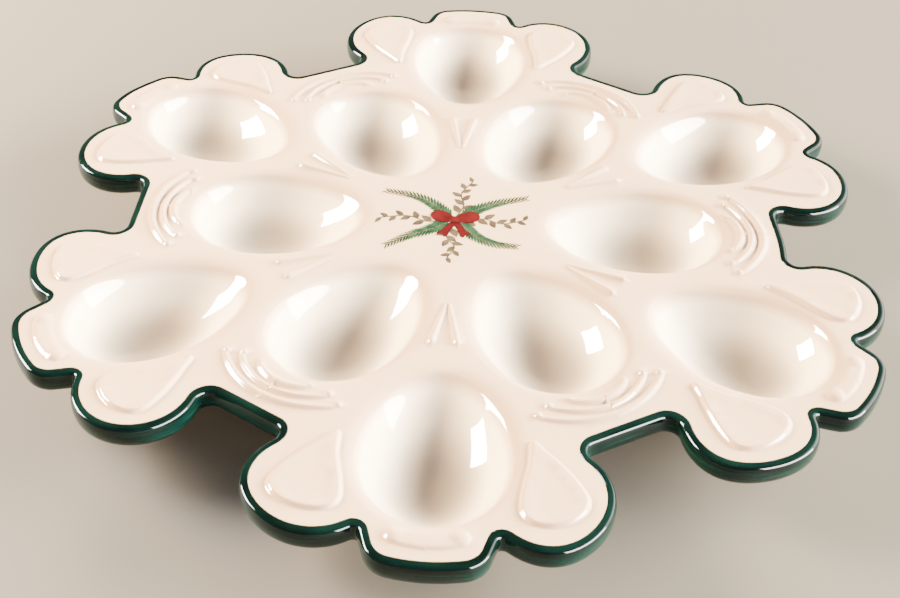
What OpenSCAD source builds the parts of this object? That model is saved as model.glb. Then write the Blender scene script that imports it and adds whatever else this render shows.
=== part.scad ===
// Six-lobed egg platter in glazed stoneware: twelve egg-shaped wells in two rings,
// a rolled rim band, low relief ornament on the deck and unglazed feet under the wells.
// The origin is the centre of the platter on the table, +Z up. Lobes 2 and 5 lie on the Y axis.

/* [Outline] */
// Deck between the outer well's mouth and the flat end of a lobe
tip_land = 15; // [13:0.5:18]
// Width of a lobe's flat end before its corners are rounded
tip_w = 29.6; // [27:0.2:32]
// Slant of the sides of the flat end, in degrees
tip_flare = 16.5; // [12:0.5:22]
// Radius of the flat end's corners
tip_corner_r = 10.5; // [8:0.5:12]
// Radius in the notch between the flat end and the side scallop
notch_r = 2.6; // [2:0.1:3.6]
// Radius of a side scallop
scallop_r = 19.2; // [18:0.1:21]
// Side scallop centre, measured back from the far end of the outer well's mouth
scallop_back = 14.5; // [12:0.5:17]
// Side scallop centre, measured out from the side of the outer well's mouth
scallop_out = 10.1; // [8.5:0.1:12]
// Deck between the outermost scroll ridge's middle and the straight floor of a valley
valley_land = 6.3; // [5:0.1:9]
// Radius in the corners of a valley
valley_corner_r = 5.2; // [4.2:0.2:7]

/* [Deck and rim] */
// Thickness of the flat deck
deck_t = 4.5; // [3.5:0.1:5.5]
// Height of the rim band
rim_h = 8; // [6.5:0.1:10]
// Thickness of the rim band below the deck
rim_wall = 3.6; // [2.6:0.1:3.8]
// How far the side of the rim band swells outward
rim_bulge = 1.2; // [0.6:0.1:1.6]
// Width of the green edge seen from above
rim_edge_w = 1.1; // [0.8:0.1:1.6]
// Radius of the rim band's upper edge
rim_edge_r = 0.9; // [0.4:0.1:1]

/* [Wells] */
// Length of a well's mouth
well_l = 63; // [58:0.5:66]
// Width of a well's mouth
well_w = 47; // [43:0.5:49]
// Depth of a well
well_depth = 16.5; // [14:0.5:19]
// How much blunter the outer end is than the inner one
well_taper_share = 0.17; // [0.05:0.01:0.25]
// Width of the eased lip round a mouth
lip_w = 2.2; // [1:0.1:3]
// Depth that the curve of the lip would reach if it went on
lip_sag = 7.5; // [6:0.5:10]
// Wall of the cup under each well
cup_wall = 4; // [3:0.5:5.5]
// Radius of the plain middle of the deck
centre_r = 28.6; // [25:0.2:34]
// Deck between the plain middle and the lips of the inner wells
centre_land = 2.5; // [1:0.1:4]
// How much farther out the outer wells lie than the inner ones
ring_step = 47.2; // [43:0.2:54]

/* [Feet] */
// Height of a cup's underside above the table
foot_h = 3.5; // [2:0.5:6]
// Length of a foot pad, along its well
foot_l = 26; // [18:1:32]
// Width of a foot pad
foot_w = 17; // [12:1:20]

/* [Relief] */
// Height of the leaf pads
leaf_h = 1; // [0.5:0.1:2]
// Length of a leaf pad
leaf_l = 30.6; // [26:0.2:32]
// Leaf pad's width on the side away from the well
leaf_out_w = 15.5; // [12:0.5:17]
// Leaf pad's width on the side of the well
leaf_in_w = 4.6; // [3:0.2:6]
// Leaf pad's point, measured back from the far end of the outer well's mouth
leaf_back = 34.2; // [31:0.2:37]
// Leaf pad's point, measured out from the side of the outer well's mouth
leaf_out = 6.1; // [5.4:0.1:8]
// Height of the scroll ridges
scroll_h = 1.1; // [0.6:0.1:1.6]
// Width of a scroll ridge
scroll_w = 2.6; // [1.6:0.1:3]
// Radii of the three scroll ridges, from the outermost
scroll_r = [32.8, 24.2, 15.4];
// Gap between the inner well's lip and the innermost scroll ridge
scroll_gap = 4; // [2:0.2:5]
// Space between the middles of two scroll ridges on the valley's line
scroll_pitch = 3.7; // [3.2:0.1:4]
// Radius of the beads that end the scroll ridges
bead_r = 1.5; // [1:0.1:1.9]
// Radius of the crescent round the outer end of an outer well
crescent_r = 26.8; // [22:0.2:34]
// Width of the crescent
crescent_w = 5; // [3:0.5:6]
// Height of the crescent
crescent_h = 0.9; // [0.5:0.1:1.5]
// Gap between the outer well's lip and the crescent
crescent_gap = 1; // [0.5:0.1:2]
// Length of a chevron bar
chevron_l = 19; // [14:0.5:21]
// Gap between the plain middle and a chevron's point
chevron_gap = 18.7; // [16:0.1:22]
// Half the spread of a chevron's open end
chevron_spread = 4; // [3:0.1:5]
// Radius of a chevron bar at its open end
chevron_r = 1.2; // [0.8:0.1:1.6]

/* [Hidden] */
$fn = 72;

cream = [0.95, 0.91, 0.86];
cream_shade = [0.91, 0.86, 0.80];
green = [0.07, 0.28, 0.23];
bare_clay = [0.80, 0.73, 0.62];

// Six lobes, each half of one spanning half of a sector
lobe_count = 6;
sector_a = 360 / lobe_count;
half_a = sector_a / 2;

// Heights above the table
deck_h = foot_h + cup_wall + well_depth;
deck_under = deck_h - deck_t;

// Places from the centre outward: each ring of wells, what lies round it, and then the outline
inner_well_reach = centre_r + centre_land + lip_w + well_l;
outer_well_reach = inner_well_reach + ring_step;
scroll_base = inner_well_reach + lip_w + scroll_gap;
valley_reach = scroll_base + (len(scroll_r) - 1) * scroll_pitch + valley_land;
tip_reach = outer_well_reach + tip_land;
scallop_reach = outer_well_reach - scallop_back;
scallop_spread = well_w / 2 + scallop_out;
leaf_reach = outer_well_reach - leaf_back;
leaf_spread = well_w / 2 + leaf_out;
chevron_reach = centre_r + chevron_gap;

// One overrun for every cut
cut = deck_t;
// Span that covers the whole platter
span = 2 * (tip_reach + rim_bulge);

// An outline's arcs are drawn with chords of about this length, and with no fewer than the least
arc_chord = 3.2;
arc_least = 5;

// Unit vectors and small plane geometry
function ray(a) = [cos(a), sin(a)];
function angle_of(v) = atan2(v[1], v[0]);
// Stations along an arc, each a point and its outward normal: sense 1 where the outline
// bulges, -1 where it is hollow
function arc_stations(c, r, a0, a1, sense) =
    let (n = max(arc_least, ceil(r * abs(a1 - a0) * PI / 180 / arc_chord)))
    [for (i = [0 : n])
        let (way = ray(a0 + (a1 - a0) * i / n))
        [c + r * way, sense * way]];

// Outline of half a lobe, with the lobe along +X: a flat end, a rounded corner, a slanted
// side, a notch, a side scallop, a valley corner and half of the valley's floor.
tip_side = ray(180 - tip_flare);
tip_out = ray(90 - tip_flare);
tip_mark = [tip_reach, tip_w / 2];
tip_c = [
    tip_reach - tip_corner_r,
    tip_w / 2 - tip_corner_r * (1 - sin(tip_flare)) / cos(tip_flare)
];
scallop_c = [scallop_reach, scallop_spread];
// The notch arc lies outside the slanted side and outside the scallop, and touches both
notch_from = tip_mark + notch_r * tip_out - scallop_c;
notch_b = notch_from * tip_side;
notch_s = -notch_b - sqrt(notch_b * notch_b - notch_from * notch_from + pow(scallop_r + notch_r, 2));
notch_c = tip_mark + notch_r * tip_out + notch_s * tip_side;
notch_a0 = 270 - tip_flare;
notch_a1 = angle_of(scallop_c - notch_c);
scallop_a0 = notch_a1 - 180;
// The valley corner's arc lies outside the scallop and beyond the valley's floor
valley_out = ray(half_a);
valley_side = ray(half_a + 90);
scallop_s = scallop_c * valley_out;
scallop_t = scallop_c * valley_side;
corner_s = valley_reach + valley_corner_r;
corner_t = scallop_t + sqrt(pow(scallop_r + valley_corner_r, 2) - pow(scallop_s - corner_s, 2));
corner_c = corner_s * valley_out + corner_t * valley_side;
scallop_a1 = angle_of(corner_c - scallop_c);
corner_a0 = scallop_a1 + 180;
corner_a1 = half_a + 180;
valley_mid = valley_reach * valley_out;

half_stations = concat(
    arc_stations(tip_c, tip_corner_r, 0, 90 - tip_flare, 1),
    arc_stations(notch_c, notch_r, notch_a0, notch_a1, -1),
    arc_stations(scallop_c, scallop_r, scallop_a0, scallop_a1, 1),
    arc_stations(corner_c, valley_corner_r, corner_a0, corner_a1, -1),
    [[valley_reach * valley_out, valley_out]]
);
lobe_stations = concat(
    [for (i = [len(half_stations) - 1 : -1 : 0])
        let (s = half_stations[i])
        [[s[0][0], -s[0][1]], [s[1][0], -s[1][1]]]],
    half_stations
);

// Sector of the deck with one lobe, drawn in from the outline by a margin
module lobe_area(margin) {
    polygon(concat([[0, 0]], [for (s = lobe_stations) s[0] - margin * s[1]]));
}

// Egg-shaped bowl with its mouth in the plane z = 0 and its blunt end toward +X.
// It is the lower half of an egg revolved about its long axis, which lies level above the mouth.
function egg_share(u, k = well_taper_share) = sqrt(1 - u * u) * (1 + k * u);
egg_crown_u = (sqrt(1 + 8 * pow(well_taper_share, 2)) - 1) / (4 * well_taper_share);
egg_crown = egg_share(egg_crown_u);
// Place along the egg, as a share, where its radius falls to a given share of the widest
function mouth_end(side, level, lo = 0, hi = 1, n = 30) =
    let (m = (lo + hi) / 2)
    n == 0 ? m
    : egg_share(side * m) / egg_crown > level ? mouth_end(side, level, m, hi, n - 1)
    : mouth_end(side, level, lo, m, n - 1);
egg_bands = 20;

// The far end of the mouth lies at x = reach
module egg_bowl(reach, l, w, depth) {
    rise = (w * w / 4 - depth * depth) / (2 * depth);
    widest = rise + depth;
    far_u = mouth_end(1, rise / widest);
    near_u = mouth_end(-1, rise / widest);
    half_l = l / (far_u + near_u);
    profile = [for (i = [0 : egg_bands])
        let (u = -cos(180 * i / egg_bands))
        [i == 0 || i == egg_bands ? 0 : widest * egg_share(u) / egg_crown, half_l * u]];
    translate([reach - half_l * far_u, 0, rise])
        rotate([0, 90, 0])
            rotate([0, 0, -90])
                rotate_extrude(angle = 180)
                    polygon(profile);
}

// The hollow of a well with its eased lip, in place on a lobe's or a valley's line
module well_hollow(reach) {
    translate([0, 0, deck_h]) {
        egg_bowl(reach, well_l, well_w, well_depth);
        egg_bowl(reach + lip_w, well_l + 2 * lip_w, well_w + 2 * lip_w, lip_sag);
    }
}

module cup_form(reach) {
    translate([0, 0, deck_h])
        egg_bowl(reach + cup_wall, well_l + 2 * cup_wall, well_w + 2 * cup_wall, well_depth + cup_wall);
}

// Cup that hangs from the deck's underside round a well
module cup(reach) {
    color(cream_shade)
        difference() {
            cup_form(reach);
            well_hollow(reach);
            translate([0, -span / 2, deck_under]) cube([span, span, span]);
        }
}

// Round disc in the middle of the deck, inside the ring of inner wells
module centre_panel() {
    color(cream)
        translate([0, 0, deck_under]) cylinder(h = deck_t, r = centre_r);
}

// Deck of one lobe, with its outer well's mouth and half of two inner mouths cut out
module lobe_panel() {
    color(cream)
        difference() {
            translate([0, 0, deck_under]) linear_extrude(deck_t) lobe_area(rim_edge_w);
            translate([0, 0, deck_under - cut]) cylinder(h = deck_t + 2 * cut, r = centre_r);
            well_hollow(outer_well_reach);
            for (side = [-1, 1]) rotate([0, 0, side * half_a]) well_hollow(inner_well_reach);
        }
}

// Section of the rim band: outward distance from the outline, and height from the deck's top.
// It laps over the deck's edge, swells, rolls under and stands thicker below the deck.
roll_r = rim_wall / 3;
swell_h = rim_h - rim_edge_r - roll_r;
swell_steps = 5;
rim_section = concat(
    [[-rim_wall, -rim_h + roll_r], [-rim_wall, -deck_t], [-rim_edge_w, -deck_t], [-rim_edge_w, 0]],
    [[-rim_edge_r, 0]],
    [for (i = [0 : swell_steps])
        [rim_bulge * sin(180 * i / swell_steps), -rim_edge_r - swell_h * i / swell_steps]],
    [[-roll_r, -rim_h], [-rim_wall + roll_r, -rim_h]]
);

// The section swept along the stations of one lobe, with flat ends in the valleys
module rim_band() {
    across = len(rim_section);
    along = len(lobe_stations);
    points = [for (s = lobe_stations, q = rim_section)
        let (place = s[0] + q[0] * s[1])
        [place[0], place[1], deck_h + q[1]]];
    sides = [for (j = [0 : along - 2], i = [0 : across - 1])
        let (k = (i + 1) % across)
        [j * across + i, j * across + k, (j + 1) * across + k, (j + 1) * across + i]];
    start = [for (i = [across - 1 : -1 : 0]) i];
    end = [for (i = [0 : across - 1]) (along - 1) * across + i];
    color(green) polyhedron(points = points, faces = concat([start], sides, [end]), convexity = 8);
}

// Leaf pads: teardrops with sloping edges, one on each side of every outer well
leaf_points = 24;
leaf_sharp_share = 1.15;
// Share of the full size and of the height at each course of the sloping edge
leaf_course_shares = [[1, 0], [0.96, 0.6], [0.84, 1]];
function leaf_ring(size_share, z) = [for (i = [0 : leaf_points - 1])
    let (t = 360 * i / leaf_points)
    let (fall = sin(t) * pow(sin(t / 2), leaf_sharp_share))
    let (half_w = fall > 0 ? leaf_out_w : leaf_in_w)
    let (mid = [leaf_reach + leaf_l / 2, leaf_spread])
    [mid[0] - size_share * leaf_l / 2 * cos(t), mid[1] + size_share * half_w * fall, z]];
module leaf_pad() {
    rings = [for (c = leaf_course_shares) leaf_ring(c[0], deck_h + leaf_h * c[1])];
    courses = len(rings);
    top = [for (i = [leaf_points - 1 : -1 : 0]) (courses - 1) * leaf_points + i];
    sides = [for (j = [0 : courses - 2], i = [0 : leaf_points - 1])
        let (k = (i + 1) % leaf_points)
        [j * leaf_points + k, j * leaf_points + i, (j + 1) * leaf_points + i, (j + 1) * leaf_points + k]];
    bottom = [for (i = [0 : leaf_points - 1]) i];
    polyhedron(points = [for (r = rings) each r], faces = concat([top], sides, [bottom]), convexity = 4);
}

module leaf_relief() {
    color(cream)
        for (i = [0 : lobe_count - 1], m = [0, 1])
            rotate([0, 0, half_a + sector_a * i]) mirror([0, m, 0]) leaf_pad();
}

// Low crowned section of a ridge, w wide and h high, standing on the deck
module ridge_section(w, h) {
    r = (w * w / 4 + h * h) / (2 * h);
    intersection() {
        translate([0, h - r]) circle(r);
        translate([-w / 2, 0]) square([w, h]);
    }
}

// Ridge that runs round an arc, symmetric about +X
module ridge(centre, r, w, h, half_angle) {
    translate([centre, 0, deck_h])
        rotate([0, 0, -half_angle])
            rotate_extrude(angle = 2 * half_angle)
                translate([r, 0]) ridge_section(w, h);
}

module bead(place) {
    translate([place[0], place[1], deck_h])
        intersection() {
            sphere(bead_r);
            translate([-bead_r, -bead_r, 0]) cube(2 * bead_r);
        }
}

// Scrolls: three nested ridges past the outer end of each inner well, with beads at their ends
scroll_half_a = [44, 47, 42];
// Widening from the outermost ridge inward
scroll_w_shares = [1, 0.85, 1.15];
module scrolls() {
    for (i = [0 : len(scroll_r) - 1]) {
        mid = scroll_base + scroll_pitch * (len(scroll_r) - 1 - i);
        centre = mid - scroll_r[i];
        ridge(centre, scroll_r[i], scroll_w * scroll_w_shares[i], scroll_h, scroll_half_a[i]);
        for (side = [-1, 1]) bead([centre, 0] + scroll_r[i] * ray(side * scroll_half_a[i]));
    }
}

module scroll_relief() {
    color(cream) for (i = [0 : lobe_count - 1]) rotate([0, 0, sector_a * i]) scrolls();
}

// Crescents: a low bar that hugs the outer end of each outer well
crescent_half_a = 24;
crescent_mid = outer_well_reach + lip_w + crescent_gap + crescent_w / 2;
module crescent_relief() {
    color(cream)
        for (i = [0 : lobe_count - 1])
            rotate([0, 0, half_a + sector_a * i])
                ridge(crescent_mid - crescent_r, crescent_r, crescent_w, crescent_h, crescent_half_a);
}

// Chevrons: two tapered bars on each lobe's line that point at the centre
chevron_tip_share = 0.4;
module chevron_bar(side) {
    tip_r = chevron_r * chevron_tip_share;
    open_end = [chevron_reach + chevron_l, side * chevron_spread];
    tip_end = [chevron_reach, side * tip_r];
    run = open_end - tip_end;
    translate([tip_end[0], tip_end[1], deck_h])
        rotate([0, 0, angle_of(run)])
            intersection() {
                rotate([0, 90, 0]) cylinder(h = norm(run), r1 = tip_r, r2 = chevron_r);
                translate([0, -chevron_r, 0]) cube([norm(run), 2 * chevron_r, chevron_r]);
            }
}

module chevron_relief() {
    color(cream)
        for (i = [0 : lobe_count - 1], side = [-1, 1])
            rotate([0, 0, half_a + sector_a * i]) chevron_bar(side);
}

// Foot pads: unglazed, round-ended, under the lowest point of each cup and all in one plane
egg_low_share = 0.43;
module foot_pad(reach) {
    low_x = reach - well_l * egg_low_share;
    end_x = (foot_l - foot_w) / 2;
    difference() {
        translate([low_x, 0, 0])
            linear_extrude(foot_h + cup_wall) {
                for (side = [-1, 1]) translate([side * end_x, 0]) circle(foot_w / 2);
                square([2 * end_x, foot_w], center = true);
            }
        cup_form(reach);
    }
}

module foot_pads() {
    color(bare_clay)
        for (i = [0 : lobe_count - 1]) {
            rotate([0, 0, half_a + sector_a * i]) foot_pad(outer_well_reach);
            rotate([0, 0, sector_a * i]) foot_pad(inner_well_reach);
        }
}

module on_lobe(n) {
    rotate([0, 0, half_a + sector_a * (n - 1)]) children();
}

module on_valley(n) {
    rotate([0, 0, sector_a * (n - 1)]) children();
}

centre_panel();
on_lobe(1) lobe_panel();  // lobe_panel_1
on_lobe(2) lobe_panel();  // lobe_panel_2
on_lobe(3) lobe_panel();  // lobe_panel_3
on_lobe(4) lobe_panel();  // lobe_panel_4
on_lobe(5) lobe_panel();  // lobe_panel_5
on_lobe(6) lobe_panel();  // lobe_panel_6
on_lobe(1) rim_band();  // rim_band_1
on_lobe(2) rim_band();  // rim_band_2
on_lobe(3) rim_band();  // rim_band_3
on_lobe(4) rim_band();  // rim_band_4
on_lobe(5) rim_band();  // rim_band_5
on_lobe(6) rim_band();  // rim_band_6
on_lobe(1) cup(outer_well_reach);  // outer_cup_1
on_lobe(2) cup(outer_well_reach);  // outer_cup_2
on_lobe(3) cup(outer_well_reach);  // outer_cup_3
on_lobe(4) cup(outer_well_reach);  // outer_cup_4
on_lobe(5) cup(outer_well_reach);  // outer_cup_5
on_lobe(6) cup(outer_well_reach);  // outer_cup_6
on_valley(1) cup(inner_well_reach);  // inner_cup_1
on_valley(2) cup(inner_well_reach);  // inner_cup_2
on_valley(3) cup(inner_well_reach);  // inner_cup_3
on_valley(4) cup(inner_well_reach);  // inner_cup_4
on_valley(5) cup(inner_well_reach);  // inner_cup_5
on_valley(6) cup(inner_well_reach);  // inner_cup_6
leaf_relief();
scroll_relief();
crescent_relief();
chevron_relief();
foot_pads();
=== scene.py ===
# %% [markdown]
# # A glazed egg platter
# The real object is one stoneware casting under three coats: a cream glaze all over, a dark green
# glaze on the outer side of the rim, and a small fired print in the middle. The CAD frame holds it
# as separate regions. Here the casting becomes one smooth body, because thick glaze rounds every
# edge, and the green coat and the print are pieces of their own that lie on it.

# %% Load the frame
import math
import bmesh
import bpy
import numpy as np
from mathutils import Matrix, Vector
from mathutils.geometry import delaunay_2d_cdt


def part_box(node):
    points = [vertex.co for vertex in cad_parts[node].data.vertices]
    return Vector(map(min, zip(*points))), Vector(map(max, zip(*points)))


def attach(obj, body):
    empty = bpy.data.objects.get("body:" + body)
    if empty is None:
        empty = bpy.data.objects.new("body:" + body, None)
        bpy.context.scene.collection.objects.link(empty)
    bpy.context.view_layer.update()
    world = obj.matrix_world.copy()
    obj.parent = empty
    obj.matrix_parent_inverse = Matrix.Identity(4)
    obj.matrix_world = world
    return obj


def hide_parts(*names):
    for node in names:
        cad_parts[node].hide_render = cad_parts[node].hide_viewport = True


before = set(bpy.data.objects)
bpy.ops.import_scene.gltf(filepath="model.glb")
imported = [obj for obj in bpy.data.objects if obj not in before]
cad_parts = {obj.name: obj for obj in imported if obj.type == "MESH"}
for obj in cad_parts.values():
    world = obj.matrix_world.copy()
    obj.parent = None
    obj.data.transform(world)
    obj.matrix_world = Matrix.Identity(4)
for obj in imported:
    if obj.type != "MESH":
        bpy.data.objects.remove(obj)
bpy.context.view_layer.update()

# %% [markdown]
# ## Sizes
# Everything below is worked out in millimetres in the frame of one lobe, which lies along +X, and
# turned to metres when a mesh is made. The heights come from the CAD boxes. The plan sizes repeat
# the CAD model's own, so that the smooth body lies where its solids are. Only a lobe's end differs:
# it is slightly crowned, and its corners are a little tighter.

# %% Sizes
MM = 0.001
LOBES = 6
HALF_A = math.pi / LOBES

deck_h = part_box("centre_panel")[1][2] / MM
deck_t = deck_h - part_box("centre_panel")[0][2] / MM
rim_h = deck_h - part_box("rim_band_1")[0][2] / MM
cup_low = 3.5

tip_reach, tip_w, tip_flare = 158.4, 30.2, math.radians(16.5)
tip_corner_r, tip_crown_r = 8.5, 50
notch_r, scallop_r, scallop_c = 2.6, 19.2, np.array([129.0, 33.6])
valley_reach, valley_corner_r = 116.2, 5.2
rim_bulge = 1.2

well_l, well_w, well_depth, well_taper = 63.0, 47.0, 16.5, 0.17
lip_w, lip_sag, cup_wall = 2.2, 7.5, deck_h - well_depth - cup_low
outer_reach, inner_reach = 143.5, 96.3
print(f"deck {deck_h:.1f} mm above the table and {deck_t:.1f} mm thick, rim {rim_h:.1f} mm tall")

# %% [markdown]
# ## The outline
# Half a lobe is a chain of arcs that touch: a crowned end with a rounded corner, a notch, a wide
# scallop and a valley corner. Each station on it keeps its outward normal, so any line that runs
# beside the edge, inside or outside, is the same list moved along those normals.

# %% Outline stations
EDGE_PITCH, ARC_LEAST = 1.2, 4


def ray(a):
    return np.array([math.cos(a), math.sin(a)])


def angle_of(v):
    return math.atan2(v[1], v[0])


def arc_stations(c, r, a0, a1, sense, pitch):
    n = max(ARC_LEAST, math.ceil(r * abs(a1 - a0) / pitch))
    ways = [ray(a0 + (a1 - a0) * i / n) for i in range(n + 1)]
    return [(c + r * w, sense * w) for w in ways]


def run_stations(p, q, normal, pitch):
    n = max(1, math.ceil(np.linalg.norm(q - p) / pitch))
    return [(p + (q - p) * i / n, normal) for i in range(n + 1)]


def touching_centre(start, side, other_c, span):
    """The place on a line, walked from start against side, that lies span away from another centre."""
    rel = start - other_c
    b = rel @ side
    return start - (math.sqrt(b * b - rel @ rel + span ** 2) + b) * side


def half_outline(pitch):
    # The slanted side of the lobe's end, which both of its arcs touch
    side, out = ray(math.pi - tip_flare), ray(math.pi / 2 - tip_flare)
    mark = np.array([tip_reach, tip_w / 2])
    # The rounded corner lies inside the crown and inside the slanted side
    crown_c = np.array([tip_reach - tip_crown_r, 0])
    tip_c = touching_centre(mark - tip_corner_r * out, side, crown_c, tip_crown_r - tip_corner_r)
    tip_a = angle_of(tip_c - crown_c)
    # The notch lies outside the slanted side and outside the scallop
    notch_c = touching_centre(mark + notch_r * out, side, scallop_c, scallop_r + notch_r)
    notch_a1 = angle_of(scallop_c - notch_c)
    # The valley's corner lies outside the scallop and beyond the valley's floor
    v_out, v_side = ray(HALF_A), ray(HALF_A + math.pi / 2)
    corner_s = valley_reach + valley_corner_r
    span = scallop_r + valley_corner_r
    corner_t = scallop_c @ v_side + math.sqrt(span ** 2 - (scallop_c @ v_out - corner_s) ** 2)
    corner_c = corner_s * v_out + corner_t * v_side
    scallop_a1 = angle_of(corner_c - scallop_c)
    chain = [
        arc_stations(crown_c, tip_crown_r, 0, tip_a, 1, pitch),
        arc_stations(tip_c, tip_corner_r, tip_a, math.pi / 2 - tip_flare, 1, pitch),
        run_stations(tip_c + tip_corner_r * out, notch_c - notch_r * out, out, pitch),
        arc_stations(notch_c, notch_r, 1.5 * math.pi - tip_flare, notch_a1, -1, pitch),
        arc_stations(scallop_c, scallop_r, notch_a1 - math.pi, scallop_a1, 1, pitch),
        arc_stations(corner_c, valley_corner_r, scallop_a1 + math.pi, HALF_A + math.pi, -1, pitch),
        run_stations(corner_c - valley_corner_r * v_out, valley_reach * v_out, v_out, pitch),
    ]
    kept = [chain[0][0]]
    for part in chain:
        kept += part[1:]
    return np.array([k[0] for k in kept]), np.array([k[1] for k in kept])


edge_p, edge_n = half_outline(EDGE_PITCH)
print("stations on half a lobe:", len(edge_p))

# %% [markdown]
# ## The wells
# A well is the lower part of an egg lying on its side: an egg outline spun about its long axis. Its
# height at any place is a square root, and a second, shallower and wider egg eases the lip. The
# smooth minimum joins deck, lip and hollow without a crease, the way that glaze does.


# %% Well heights
HALVINGS = 40


def egg(u):
    return np.sqrt(np.maximum(1 - u * u, 0)) * (1 + well_taper * u)


crown_u = (math.sqrt(1 + 8 * well_taper ** 2) - 1) / (4 * well_taper)
EGG_CROWN = float(egg(np.array(crown_u)))


def mouth_end(side, level):
    """How far along the egg, as a share of its half length, its radius falls to a share of the widest."""
    lo, hi = 0.0, 1.0
    for _ in range(HALVINGS):
        m = (lo + hi) / 2
        if egg(np.array(side * m)) / EGG_CROWN > level:
            lo = m
        else:
            hi = m
    return lo


class Bowl:
    """Egg-shaped bowl with its mouth at height top, in the frame of its own long axis."""

    def __init__(self, reach, l, w, depth, top):
        self.rise = (w * w / 4 - depth * depth) / (2 * depth)
        self.widest = self.rise + depth
        far, near = mouth_end(1, self.rise / self.widest), mouth_end(-1, self.rise / self.widest)
        self.half_l = l / (far + near)
        self.c = reach - self.half_l * far
        self.low = self.c + self.half_l * crown_u
        self.top = top

    def height(self, x, y):
        u = (x - self.c) / self.half_l
        r = np.where(np.abs(u) < 1, self.widest * egg(np.clip(u, -1, 1)) / EGG_CROWN, 0)
        inside = r * r - y * y
        axis = self.top + self.rise
        return np.where(inside > 0, axis - np.sqrt(np.maximum(inside, 0)), axis)

    def mouth(self, ways, level):
        """Distance from the lowest point to where the bowl comes up to a level, along each way."""
        lo, hi = np.zeros(len(ways)), np.full(len(ways), self.half_l * 2)
        for _ in range(HALVINGS):
            m = (lo + hi) / 2
            up = self.height(self.low + m * np.cos(ways), m * np.sin(ways)) > level
            hi, lo = np.where(up, m, hi), np.where(up, lo, m)
        return lo


def smooth_min(a, b, k):
    h = np.maximum(k - np.abs(a - b), 0) / k
    return np.minimum(a, b) - h * h * k / 4


def well_pair(wider, depth):
    """The bowls of the outer and the inner well, made wider all round than the well itself."""
    return [Bowl(r + wider, well_l + 2 * wider, well_w + 2 * wider, depth, deck_h)
            for r in (outer_reach, inner_reach)]


hollows = well_pair(0, well_depth)
eases = well_pair(lip_w, lip_sag)
cups = well_pair(cup_wall, well_depth + cup_wall)


def turned(x, y, a):
    return x * math.cos(a) - y * math.sin(a), x * math.sin(a) + y * math.cos(a)


def well_frames(x, y):
    """The place in the outer well's frame and in the inner well's, which lies along the valley."""
    return [(x, y), turned(x, y, -HALF_A)]


LIP_BLEND, WALL_BLEND, UNDER_BLEND = 1.2, 2.4, 4.0


def top_height(x, y):
    z = deck_h + relief(x, y)
    for (wx, wy), hollow, ease in zip(well_frames(x, y), hollows, eases):
        z = smooth_min(z, ease.height(wx, wy), LIP_BLEND)
        z = smooth_min(z, hollow.height(wx, wy), WALL_BLEND)
    return z


def under_height(x, y):
    z = np.full(np.shape(x), deck_h - deck_t)
    for (wx, wy), cup in zip(well_frames(x, y), cups):
        z = smooth_min(z, cup.height(wx, wy), UNDER_BLEND)
    return z


# %% [markdown]
# ## The relief
# The ornament is cast in: a leaf pad on each side of the outer well, a bar at its far end with a
# knob at each end, a chevron between two inner wells and three nested scroll ridges in each valley.
# Each one is a small height field over a line, so it melts into the deck as glaze would have it.
# The same lines name the places where the mesh needs more points. A scroll is given by the place
# of its middle, its radius, half its angle and its width.

# %% Lines that the relief follows
LEAF_MARKS = ((109.3, 29.0), (113.6, 33.6), (119.8, 39.2), (126.2, 43.6), (131.2, 45.6), (135.4, 44.2),
              (138.8, 39.6), (140.2, 34.0), (139.4, 28.6), (135.6, 25.9), (128.4, 26.4), (118.4, 28.3))
SCROLLS = ((109.9, 32.8, 44, 2.9), (106.2, 24.2, 47, 2.3), (102.5, 15.4, 42, 3.1))
SCROLL_H, SCROLL_SPREAD, SCROLL_THINNING = 1.15, 1.2, 0.3
BEAD_R, BEAD_IN = 1.75, 0.7
BAR_R, BAR_MID, BAR_HALF_A, BAR_HALF_W = 26.8, outer_reach + lip_w + 3.7, math.radians(20), 3.0
BAR_H, KNOB_H, KNOB_R = 0.75, 0.6, 3.0
LEAF_H, ROLL_H, ROLL_IN, ROLL_R = 0.7, 0.5, 0.75, 1.5
PAD_EASE = (-0.7, 0.9)
CHEVRON = np.array([[47.3, 0.6], [66.3, 4.2]])
CHEVRON_H, CHEVRON_RISE, CHEVRON_R, CHEVRON_SWELL = 0.5, 0.75, 0.9, 0.8


def round_line(marks, steps, closed=True):
    """Smooth line through given marks, a Catmull-Rom spline."""
    p = np.array(marks, float)
    count = len(p)
    out = []
    for i in range(count if closed else count - 1):
        near = [(i + k) % count if closed else min(max(i + k, 0), count - 1) for k in (-1, 0, 1, 2)]
        a, b, c, d = p[near]
        for j in range(steps):
            t = j / steps
            square, cube = 2 * a - 5 * b + 4 * c - d, 3 * b - a - 3 * c + d
            out.append(0.5 * (2 * b + (c - a) * t + square * t * t + cube * t ** 3))
    return np.array(out if closed else out + [p[-1]])


def beside(line, off, closed=True):
    """The line moved sideways, to its left where off is positive."""
    if closed:
        run = np.roll(line, -1, axis=0) - np.roll(line, 1, axis=0)
    else:
        run = np.gradient(line, axis=0)
    run = run / np.linalg.norm(run, axis=1)[:, None]
    return line + off * np.c_[-run[:, 1], run[:, 0]]


def arc_line(centre, r, half_a, n):
    a = np.linspace(-half_a, half_a, n)
    return np.c_[centre + r * np.cos(a), r * np.sin(a)]


LEAF = round_line(LEAF_MARKS, 9)
print("leaf pad outline:", len(LEAF), "points")


# %% Relief heights
TINY = 1e-12


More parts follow.
